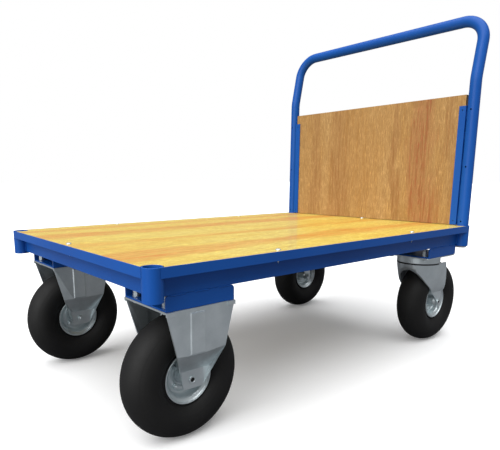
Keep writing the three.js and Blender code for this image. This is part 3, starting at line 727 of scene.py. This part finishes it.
# ---------- push handle ----------
handle_x = sockets["rear_left"].x
handle_y = sockets["rear_right"].y


def lean_back(s):
    """Distance along a leg to (x, z): upright, round the kink, then leaning back."""
    start = KINK_HEIGHT - KINK_BEND * math.tan(LEAN / 2)
    if s <= start:
        return 0.0, s
    angle = min((s - start) / KINK_BEND, LEAN)
    rest = max(s - start - KINK_BEND * LEAN, 0.0)
    return (KINK_BEND * (1 - math.cos(angle)) + rest * math.sin(LEAN),
            start + KINK_BEND * math.sin(angle) + rest * math.cos(LEAN))


def handle_path(bottom):
    """Centre line of the tube, up one leg, over the grip and down the other."""
    kink = KINK_BEND * math.tan(LEAN / 2)
    top = KINK_HEIGHT + LEAN_LENGTH - 2 * kink + KINK_BEND * LEAN
    flat = [(-handle_y, bottom), (-handle_y, KINK_HEIGHT - kink)]
    flat += [(-handle_y, KINK_HEIGHT - kink + KINK_BEND * LEAN * i / 8) for i in range(1, 9)]
    flat += [(-handle_y + GRIP_BEND * (1 - math.cos(a)), top - GRIP_BEND * (1 - math.sin(a)))
             for a in (math.pi / 2 * i / 24 for i in range(25))]
    flat += [(-y, s) for y, s in reversed(flat)]
    return [Vector((handle_x + x, y, z)) for y, (x, z) in ((y, lean_back(s)) for y, s in flat)]


def push_handle():
    """Bent tube, hollow, with small holes drilled through the front of each leg."""
    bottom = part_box("push_handle")[0].z / MM
    handle = sweep("fine_push_handle", handle_path(bottom), lambda i: TUBE_RADIUS, 48)
    boolean(handle, sweep("inside", handle_path(bottom - 1), lambda i: TUBE_RADIUS - TUBE_WALL, 32))
    drill = [(0, -1), (2.5, -1), (2.5, 12), (0, 12)]
    drills = [
        lathe("drill", drill, moved(handle_x - TUBE_RADIUS, side * handle_y, height) @ turned(90, "Y"), 24)
        for side in SIDES.values() for height in DRILL_HEIGHTS
    ]
    boolean(handle, join(drills, "drills"))
    dress(shade(handle, 40), "blue_paint", "handle", "push_handle")


def handle_plug(side):
    """Plastic plug with ribs that grip inside the tube and a rounded collar below it."""
    node = f"handle_plug_{side}"
    low, high = (v.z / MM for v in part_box(node))
    place = middle(node) / MM
    profile = [(0, low)] + arc(13.0, low + 2.0, 2.0, -90, 0, 6)
    profile += [(15, low + 4.6), (14.6, low + 5), (13, low + 5), (12.6, low + 9), (13, low + 10),
                (12.4, low + 14), (12.8, low + 15), (12, high), (0, high)]
    plug = lathe(f"fine_{node}", profile, moved(place.x, place.y, 0), 64)
    dress(shade(plug, 40), "grey_plastic", "handle", node)


def angle_welds(side):
    """Stitch welds between a board angle and its leg."""
    y = SIDES[side] * (handle_y - TUBE_RADIUS - 0.2)
    for index, height in enumerate(ANGLE_WELD_HEIGHTS):
        for where, x in (("front", handle_x - 3.5), ("back", handle_x + 5.5)):
            name = f"angle_weld_{where}_{index}_{side}"
            low, high = height - ANGLE_WELD_HALF, height + ANGLE_WELD_HALF
            weld(name, (x, y, low), (x, y, high), 1.3, "handle")


def board_screws(side):
    """Small domed screws that hold the end board to its angle."""
    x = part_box(f"board_angle_{side}")[0].x / MM + 3.2
    y = SIDES[side] * (handle_y - TUBE_RADIUS - 0.3 - 10)
    profile = [(0, 0), (1.75, 0)] + dome(1.75, 1.2, 0.6, 4) + [(0, 1.8)]
    for index, height in enumerate(BOARD_SCREW_HEIGHTS):
        screw = lathe(f"board_screw_{index}_{side}", profile, sides=24)
        cross_recess(screw, 1.8, 0.9, 2.0, 0.45)
        screw.data.transform(moved(x, y, height) @ turned(-90, "Y"))
        dress(shade(screw, 40), "dark_steel", "handle")


push_handle()
for side in SIDES:
    handle_plug(side)
    angle_welds(side)
    board_screws(side)


# ---------- wheels ----------
def tyre_outline(half_width, steps, open_angle, lines=()):
    """Oval section from one bead over the tread to the other. Each moulded line on it is
    (height, angle from the crown, half width as an angle)."""
    points = []
    for i in range(steps + 1):
        a = open_angle + (i / steps) * (2 * math.pi - 2 * open_angle)
        from_crown = abs(a - math.pi)
        swell = sum(height * math.exp(-((from_crown - place) / width) ** 2) for height, place, width in lines)
        points.append((WHEEL_RADIUS - TYRE_HALF_HEIGHT - (TYRE_HALF_HEIGHT + swell) * math.cos(a),
                       -(half_width + swell) * math.sin(a)))
    return points


def tyre():
    """Hollow casing whose beads sit against the backs of the rim's flanges."""
    lines = ((0.30, 1.95, 0.020), (-0.35, 0.98, 0.018), (-0.35, 1.06, 0.018))
    outer = tyre_outline(TYRE_WIDTH / 2, 150, 0.70, lines)
    bead = [(56.3, 28.6), (54.9, 27.0), (54.0, 25.4), (52.4, 24.0), (50.2, 22.9), (48.6, 21.4),
            (48.2, 17.0), (49.6, 14.6), (53.0, 15.2), (57.0, 20.4)]
    crown = WHEEL_RADIUS - CASING
    inner = [(min(r, crown), y) for r, y in tyre_outline(TYRE_WIDTH / 2 - CASING, 24, 0.9)]
    outline = [(r, -y) for r, y in reversed(bead)] + outer + bead + list(reversed(inner))
    return shade(lathe("tyre", outline, sides=160), 60)


def rim():
    """Two pressed halves in one: rolled flange, cone, deep well, then a disc with a raised middle."""
    back = [(46.0, 5.0), (46.5, 14.0), (47.3, 20.2), (48.6, 22.2), (50.6, 23.2), (52.4, 24.6), (54.0, 26.4)]
    flange = arc(52.9, 28.4, 1.9, 20, 180, 10)
    well = [(49.4, 26.4), (46.6, 25.0), (44.6, 23.4), (43.2, 21.4), (42.4, 18.6), (41.4, 11.5),
            (40.4, 8.6), (38.6, 6.6), (36.0, 5.8)]
    disc = [(34.3, 6.2), (32.5, 7.8), (30.5, RIM_FACE), (25.5, RIM_FACE), (23.6, 7.6), (22.4, 5.4),
            (20.6, 4.6), (17.3, 4.6)]
    return shade(lathe("rim", mirrored(back + flange + well + disc), sides=128), 50)


def hub():
    """Tube between the fork's plates, with a stepped seal at each end and a flange at the rim's disc."""
    end = AXLE_PLATE_Y - FORK_SHEET - 0.6
    seal = [(AXLE_HOLE, end), (9.0, end), (9.3, end - 0.8), (11.6, end - 0.8), (12.4, end - 0.2),
            (13.0, end - 0.6), (14.6, end - 3.0), (16.2, end - 5.2), (17.0, end - 6.2)]
    flange = [(17.0, 9.5), (18.4, 8.2), (18.9, 5.2), (17.0, 4.9), (17.0, 0.4)]
    return shade(lathe("hub", mirrored(seal + flange), sides=64), 40)


def valve():
    """Stem of the inner tube's valve, with its cap."""
    profile = [(0, 0), (3.6, 0), (4.4, 1.2), (4.2, 5), (2.9, 8), (2.6, 14), (2.9, 14.4), (2.9, 20),
               (2.4, 21), (0, 21)]
    return shade(lathe("valve", profile, sides=32), 40)


def rim_bolt(k, corner, outward, body):
    """One of the bolts that hold the rim's halves together: nut, stud and head."""
    spot = outward @ turned(45 + 90 * k, "Z") @ moved(RIM_BOLT_CIRCLE, 0, 0)
    seat = RIM_FACE + FIT
    add_shared(SMALL_NUT, f"rim_nut_{k}_{corner}", spot @ moved(0, 0, seat), "zinc_steel", body)
    stud = lathe(f"rim_stud_{k}_{corner}", thread_profile(3.0, -17.2, 16.2, 1.2), spot, 24)
    dress(shade(stud, 40), "zinc_steel", body)
    add_shared(SMALL_NUT, f"rim_head_{k}_{corner}", spot @ moved(0, 0, -seat - SMALL_NUT_HEIGHT),
               "zinc_steel", body)


TYRE = tyre()
RIM = rim()
HUB = hub()
VALVE = valve()
SHARED += [TYRE, RIM, HUB, VALVE]

axles = {}
for end in ENDS:
    for side, sign in SIDES.items():
        corner = f"{end}_{side}"
        # Local +Z points away from the middle of the trolley.
        outward = Matrix.Translation(middle(f"tyre_{corner}")) @ turned(-90 * sign, "X")
        axles[corner] = outward
        body = f"wheel_{corner}"
        add_shared(TYRE, f"fine_tyre_{corner}", outward, "tyre_rubber", body, f"tyre_{corner}")
        add_shared(RIM, f"fine_rim_{corner}", outward, "zinc_steel", body, f"wheel_rim_{corner}")
        add_shared(HUB, f"fine_hub_{corner}", outward, "zinc_steel", body, f"wheel_hub_{corner}")
        for k in range(4):
            rim_bolt(k, corner, outward, body)
        add_shared(VALVE, f"valve_{corner}", outward @ turned(100, "Z") @ moved(36.5, 0, 5.6),
                   "dark_steel", body)


# ---------- axle bolts and nuts ----------
def axle_bolt():
    """Plain shank from the nut's side to a round head with a socket in it."""
    y = AXLE_PLATE_Y
    profile = [(0, 0.2 - y), (5.4, 0.2 - y), (6, 0.8 - y), (6, y + 0.3), (7.4, y + 0.3), (8, y + 0.8)]
    profile += arc(7.2, y + 1.7, 0.8, 0, 90, 4)
    profile += [(5.2, y + 2.5), (4.7, y + 2.0), (4.7, y - 2.5), (0, y - 2.5)]
    return lathe("axle", profile, sides=64)


def axle_shade_plug():
    """Near-black rubber cap that fills the head's socket: a dark piece standing in for the shade inside that
    hollow, painted shade.
    """
    y = AXLE_PLATE_Y
    profile = [(0, y - 2.4), (4.6, y - 2.4), (4.6, y + 1.6), (4.0, y + 2.1), (0, y + 2.2)]
    return shade(lathe("cap", profile, sides=48), 40)


AXLE = axle_bolt()
AXLE_THREAD = lathe("stud", thread_profile(4.0, -8.8 - AXLE_PLATE_Y, 1 - AXLE_PLATE_Y, 1.25), sides=32)
SHADE_PLUG = axle_shade_plug()
SHARED += [AXLE, AXLE_THREAD, SHADE_PLUG]
for corner, outward in axles.items():
    body = BODY[f"axle_bolt_{corner}"]
    halves = [copy_of(AXLE, "shank", outward), copy_of(AXLE_THREAD, "thread", outward)]
    dress(shade(join(halves, f"fine_axle_{corner}"), 40), "zinc_steel", body, f"axle_bolt_{corner}")
    # Near-black plug in each bolt head's socket: painted shade for the hollow.
    add_shared(SHADE_PLUG, f"axle_shade_plug_{corner}", outward, "tyre_rubber", body)
    nut_place = outward @ moved(0, 0, -AXLE_PLATE_Y - 0.3 - NUT_HEIGHT)
    add_shared(NUT, f"fine_axle_nut_{corner}", nut_place, "zinc_steel", body, f"axle_nut_{corner}")


# ---------- forks ----------
def bolt_drills():
    """Four drills for the mounting bolts."""
    return join([rod(BOLT_HOLE, FORK_TOP - 9, FORK_TOP + 5, x, y, 32)
                 for x in (-BOLT_X, BOLT_X) for y in (-BOLT_Y, BOLT_Y)], "drills")


def swivel_plate():
    """Flat plate with rounded corners, over a pressed cup that covers the swivel head."""
    corner = 7.0
    web = FORK_TOP - PLATE_SHEET
    outline = []
    for x, y, start in ((1, 1, 0), (-1, 1, 90), (-1, -1, 180), (1, -1, 270)):
        outline += arc(x * (CHANNEL_LENGTH / 2 - corner), y * (CHANNEL_WIDTH / 2 - corner), corner,
                       start, start + 90, 8)
    plate = prism("plate", outline, web, FORK_TOP)
    cup = [(0, web - 0.2), (0, FORK_TOP - 0.5), (CUP_RADIUS - 1.0, FORK_TOP - 0.5)]
    cup += arc(CUP_RADIUS + 2.5, web - 2.5, 2.5, 90, 180, 5)
    cup += arc(CUP_RADIUS - 0.8, CUP_BOTTOM + 0.8, 0.8, 0, -90, 3)
    cup += [(CUP_BORE, CUP_BOTTOM), (CUP_BORE, web - 0.2)]
    boolean(plate, lathe("cup", cup, sides=128), "UNION")
    boolean(plate, rod(44, HEAD_TOP + 0.3, FORK_TOP - 1), "UNION")
    boolean(plate, rod(KING_HOLE, 250, FORK_TOP + 2))
    boolean(plate, bolt_drills())
    return shade(round_edges(clean(plate), 0.5, 2), 40)


def bell(inset, end):
    """Outside of the pressed bell, or its inside when `inset` is the sheet's thickness.
    It narrows downward to the width of the flat legs and runs back to x = `end`."""
    angles = [2 * math.pi * i / 72 for i in range(72)]
    overlap = 1 if inset else 0
    points = []
    for radius, x, z in ((CUP_RADIUS - 0.5, 0, SKIRT_TOP + overlap), (61.6, 0.4, 247), (59.2, 1.3, 228),
                         (55.2, 3, 205), (50.4, 6, 185), (46.2, 9.6, 173),
                         (AXLE_PLATE_Y, 14, BELL_BOTTOM - overlap)):
        r = radius - inset
        points += [(x + r * math.cos(a), r * math.sin(a), z) for a in angles]
        points += [(end, r, z), (end, -r, z)]
    return hull("bell", points)


def fork_side():
    """Side view of the bell: an arch over the tyre in front, a stepped edge behind."""
    past = CUP_RADIUS + 5
    arch = [(-62, 252), (-57, 242), (-44, 223), (-26, 201), (-5, 183), (14, 167), (19, BELL_BOTTOM)]
    shoulder = (LEG_REAR, BELL_BOTTOM + 6)
    outline = [(-past, 252)] + smooth(arch, 6) + [(LEG_REAR, BELL_BOTTOM), shoulder]
    outline += curve(shoulder, (86, 178), (81, 190), 6)
    outline += [(54, SKIRT_TOP - 4), (52, SKIRT_TOP + 1), (-past, SKIRT_TOP + 1)]
    return prism("side", outline, -past, past, "Y")


def fork_leg():
    """Side view of a leg, from the bell down to the rounded tip round the axle."""
    outline = smooth([(14, 167.6), (37, 152), (48, 140), (55, 130), (62, 117)], 5)[:-1]
    outline += arc(73.2, 105.6, 3.8, 205, 350, 10) + [(78, 157)]
    outline += curve((78, 157), (78.2, 161.2), (82, 162), 4)
    outline += curve((82, 162), (87.6, 163.2), (LEG_REAR, 168), 4)
    return outline


def tyre_room():
    """What a part that is open over the tyre is cut with."""
    return cross_rod(WHEEL_RADIUS + 3, TYRE_WIDTH / 2 + 4, TRAIL, WHEEL_RADIUS, 96)


def fork_head():
    """Round cap that turns inside the cup, cut clear of the tyre."""
    shoulder = CUP_RADIUS - FORK_SHEET / 2 - 1
    profile = [(0, HEAD_TOP - HEAD_SHEET), (0, HEAD_TOP), (CUP_BORE - 3.6, HEAD_TOP)]
    profile += arc(CUP_BORE - 3.6, HEAD_TOP - 3, 3, 90, 0, 6)
    profile += [(CUP_BORE - 0.6, SKIRT_TOP), (shoulder, SKIRT_TOP), (shoulder, HEAD_BOTTOM),
                (CUP_BORE - 4.5, HEAD_BOTTOM), (CUP_BORE - 4.5, HEAD_TOP - HEAD_SHEET)]
    return boolean(lathe("head", profile, sides=96), tyre_room())


def swivel_fork():
    fork = bell(0.0, 110)
    boolean(fork, bell(FORK_SHEET, 150))
    boolean(fork, fork_side(), "INTERSECT")
    for low, high in ((-AXLE_PLATE_Y, FORK_SHEET - AXLE_PLATE_Y), (AXLE_PLATE_Y - FORK_SHEET, AXLE_PLATE_Y)):
        boolean(fork, prism("leg", fork_leg(), low, high, "Y"), "UNION")
    boolean(fork, fork_head(), "UNION")
    boolean(fork, rod(KING_HOLE, 250, HEAD_TOP + 1))
    boolean(fork, cross_rod(AXLE_HOLE, 50, TRAIL, WHEEL_RADIUS, 48))
    return shade(round_edges(clean(fork, 0.5), 0.7, 2, 32), 50)


def swivel_seal():
    """Thin ring in the gap between cup and fork, open where the tyre passes."""
    profile = [(62.0, 258.2), (63.0, 258.4)] + arc(62.4, 260.2, 1.0, -40, 60, 5)
    profile += [(62.6, 262.2), (60.0, 262.3), (60.0, 258.2)]
    return shade(boolean(lathe("seal", profile, sides=128), tyre_room()), 50)


def king_bolt(side, spot):
    """Hexagon head under the fork's head and a plain shank up through the plate."""
    radius = KING_RADIUS - 0.2
    end = FORK_TOP - 0.4
    head = copy_of(KING, "head", spot @ moved(0, 0, KING_HEAD_BOTTOM))
    shank = lathe("shank", [(0, 264), (radius, 264), (radius, end - 0.7), (6.8, end), (0, end)], spot, 48)
    bolt = join([head, shank], f"fine_king_bolt_{side}")
    dress(shade(bolt, 40), "dark_steel", "frame", f"king_bolt_rear_{side}")


for side in SIDES:
    refine(f"fixed_fork_front_{side}", 0.5, 2, 14, 0.7)
PLATE = swivel_plate()
FORK = swivel_fork()
SEAL = swivel_seal()
KING = hex_nut("king", 24, 8.0, 0)
SHARED += [PLATE, FORK, SEAL, KING]
for side in SIDES:
    centre = middle(f"swivel_plate_rear_{side}") / MM
    spot = moved(centre.x, centre.y, 0)
    turning = f"swivel_{side}"
    add_shared(PLATE, f"fine_swivel_plate_{side}", spot, "zinc_steel", "frame", f"swivel_plate_rear_{side}")
    add_shared(FORK, f"fine_swivel_fork_{side}", spot, "zinc_steel", turning, f"swivel_fork_rear_{side}")
    add_shared(SEAL, f"swivel_seal_{side}", spot, "dark_steel", turning)
    king_bolt(side, spot)


# ---------- caster mounting bolts ----------
def mounting_bolt(name, x, y, sheet):
    """Head under the fork's sheet, then washer, nut and locknut on the channel's floor."""
    spot = moved(x, y, 0)
    turn = turned(math.degrees(random.Random(name).random() * 3), "Z")
    k, corner = name[-1], name[:-1]
    head_z = FORK_TOP - sheet - FIT - BOLT_HEAD_HEIGHT
    washer_z = CHANNEL_FLOOR + FIT
    nut_z = washer_z + WASHER_HEIGHT + FIT
    locknut_z = nut_z + NUT_HEIGHT + FIT
    add_shared(BOLT_HEAD, f"bolt_head_{k}_{corner}", spot @ turn @ moved(0, 0, head_z), "zinc_steel", "frame")
    add_shared(WASHER, f"bolt_washer_{k}_{corner}", spot @ moved(0, 0, washer_z), "zinc_steel", "frame")
    add_shared(NUT, f"bolt_nut_{k}_{corner}", spot @ turn @ moved(0, 0, nut_z), "zinc_steel", "frame")
    add_shared(LOCKNUT, f"bolt_locknut_{k}_{corner}", spot @ turn @ moved(0, 0, locknut_z),
               "zinc_steel", "frame")
    stud = lathe(f"bolt_{k}_{corner}", thread_profile(4.0, FORK_TOP - sheet - 0.6, BOLT_TOP, 1.25), spot, 24)
    dress(shade(stud, 40), "zinc_steel", "frame")


for corner, centre in casters.items():
    sheet = FORK_SHEET if corner.startswith("front") else PLATE_SHEET
    for k, (x, y) in enumerate(((-1, -1), (-1, 1), (1, -1), (1, 1))):
        mounting_bolt(f"{corner}{k}", centre.x + x * BOLT_X, centre.y + y * BOLT_Y, sheet)

for source in SHARED:
    bpy.data.objects.remove(source)


# ---------- floor, light and camera ----------
def studio_floor():
    """Pale floor. It bounces less light than it shows, as a floor far below a bright room does."""
    mesh = bpy.data.meshes.new("floor")
    mesh.from_pydata([(-40, -40, 0), (40, -40, 0), (40, 40, 0), (-40, 40, 0)], [], [(0, 1, 2, 3)])
    pale = Nodes("pale_floor", Roughness=0.9, Specular_IOR_Level=0.1, Emission_Strength=0.12)
    pale.out("Base Color", pale.ramp(pale.noise(0.8, 2, 0.5), (0.3, grey(0.96)), (0.7, grey(0.98))))
    soft = pale.add("BsdfDiffuse", {"Color": (0.18, 0.18, 0.19, 1)})
    seen = pale.add("LightPath").outputs["Is Camera Ray"]
    shown = pale.add("MixShader", {0: seen, 1: soft.outputs[0], 2: pale.shader.outputs[0]})
    pale.tree.links.new(shown.outputs[0], pale.tree.nodes["Material Output"].inputs["Surface"])
    mesh.materials.append(pale.material)
    return new_object("floor", mesh)


def studio_world():
    """White to look at, and a dim, even light on the trolley."""
    world = bpy.data.worlds.new("studio")
    world.use_nodes = True
    tree = world.node_tree
    dim = tree.nodes["Background"]
    dim.inputs["Color"].default_value = (0.96, 0.98, 1, 1)
    dim.inputs["Strength"].default_value = 0.32
    white = tree.nodes.new("ShaderNodeBackground")
    white.inputs["Color"].default_value = (1, 1, 1, 1)
    white.inputs["Strength"].default_value = 1.0
    path = tree.nodes.new("ShaderNodeLightPath")
    blend = tree.nodes.new("ShaderNodeMixShader")
    tree.links.new(path.outputs["Is Camera Ray"], blend.inputs[0])
    tree.links.new(dim.outputs[0], blend.inputs[1])
    tree.links.new(white.outputs[0], blend.inputs[2])
    tree.links.new(blend.outputs[0], tree.nodes["World Output"].inputs["Surface"])
    return world


def soft_sun(name, direction, strength, spread):
    lamp = bpy.data.lights.new(name, "SUN")
    lamp.energy = strength
    lamp.angle = math.radians(spread)
    obj = bpy.data.objects.new(name, lamp)
    obj.rotation_euler = Vector(direction).to_track_quat("-Z", "Y").to_euler()
    bpy.context.scene.collection.objects.link(obj)


def studio_camera():
    """Low at the front left corner, looking along the deck at the handle."""
    camera = bpy.data.cameras.new("camera")
    camera.sensor_width = 36
    camera.lens = 34.74
    camera.shift_x = 0.0568
    camera.shift_y = 0.0869
    camera.clip_end = 200
    view = bpy.data.objects.new("camera", camera)
    view.location = (-0.9933, -1.0383, 0.5193)
    view.rotation_euler = (math.radians(79.263), 0, math.radians(-38.936))
    bpy.context.scene.collection.objects.link(view)
    return view


floor = studio_floor()
bpy.context.scene.world = studio_world()
soft_sun("top", (0.25, 0.10, -1), 3.3, 80)
soft_sun("key", (1, 0.12, -0.40), 1.85, 50)
bpy.context.scene.camera = studio_camera()
bpy.context.scene.view_settings.view_transform = "Standard"
